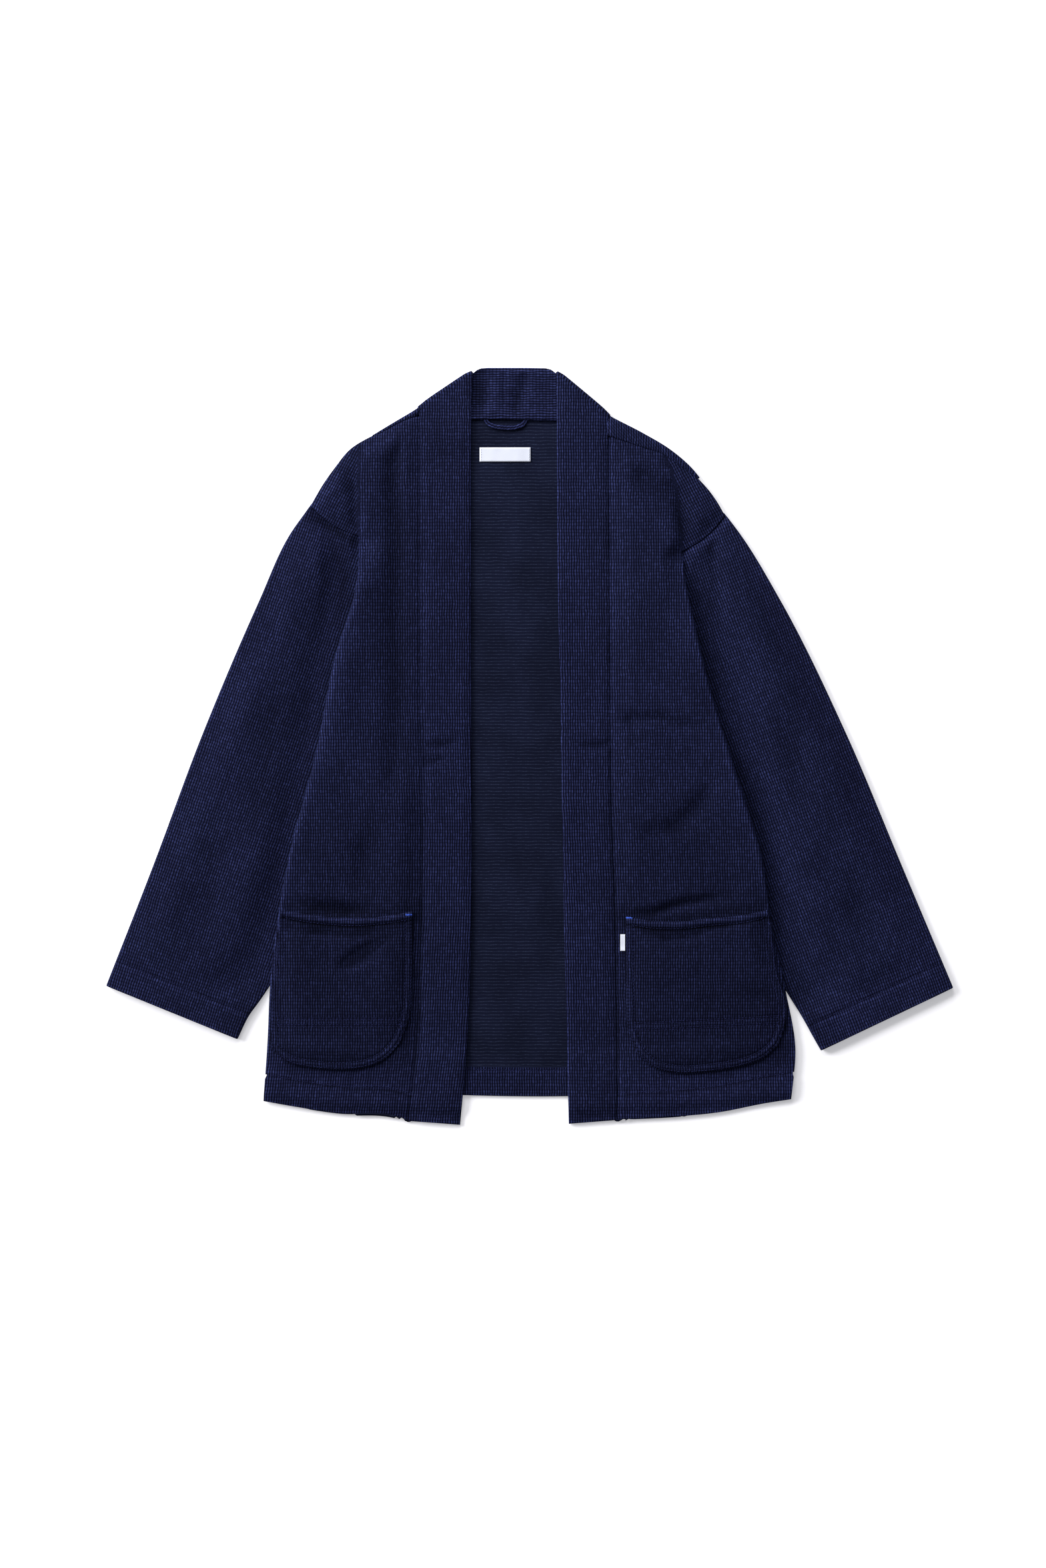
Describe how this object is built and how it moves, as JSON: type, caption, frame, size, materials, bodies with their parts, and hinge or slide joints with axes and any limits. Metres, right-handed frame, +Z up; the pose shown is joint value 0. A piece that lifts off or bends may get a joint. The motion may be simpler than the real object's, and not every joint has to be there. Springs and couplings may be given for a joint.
{
  "type": "happi coat laid flat",
  "caption": "Short indigo cotton coat with wide sleeves, a folded collar band and patch pockets, laid flat with its front up.",
  "frame": {"origin": "on the surface that the coat lies on, under the middle of its outline", "axes": "+X towards the wearer's left sleeve, +Y towards the collar, +Z up from the surface"},
  "size_m": [0.8882, 0.7942, 0.0091],
  "materials": {
    "woven_cotton": "dark indigo cotton with a raised rice-stitch weave, matt",
    "band_cotton": "the same indigo cotton, folded double and pressed",
    "label_weave": "white woven tape, bare"
  },
  "bodies": {
    "root": {"back": "woven_cotton", "front_right": "woven_cotton", "front_left": "woven_cotton", "sleeve_right": "woven_cotton", "sleeve_left": "woven_cotton", "band_right": "band_cotton", "band_left": "band_cotton", "pocket_right": "woven_cotton", "pocket_left": "woven_cotton", "hanging_loop": "woven_cotton", "neck_label": "label_weave", "pocket_tab": "label_weave"}
  },
  "joints": []
}
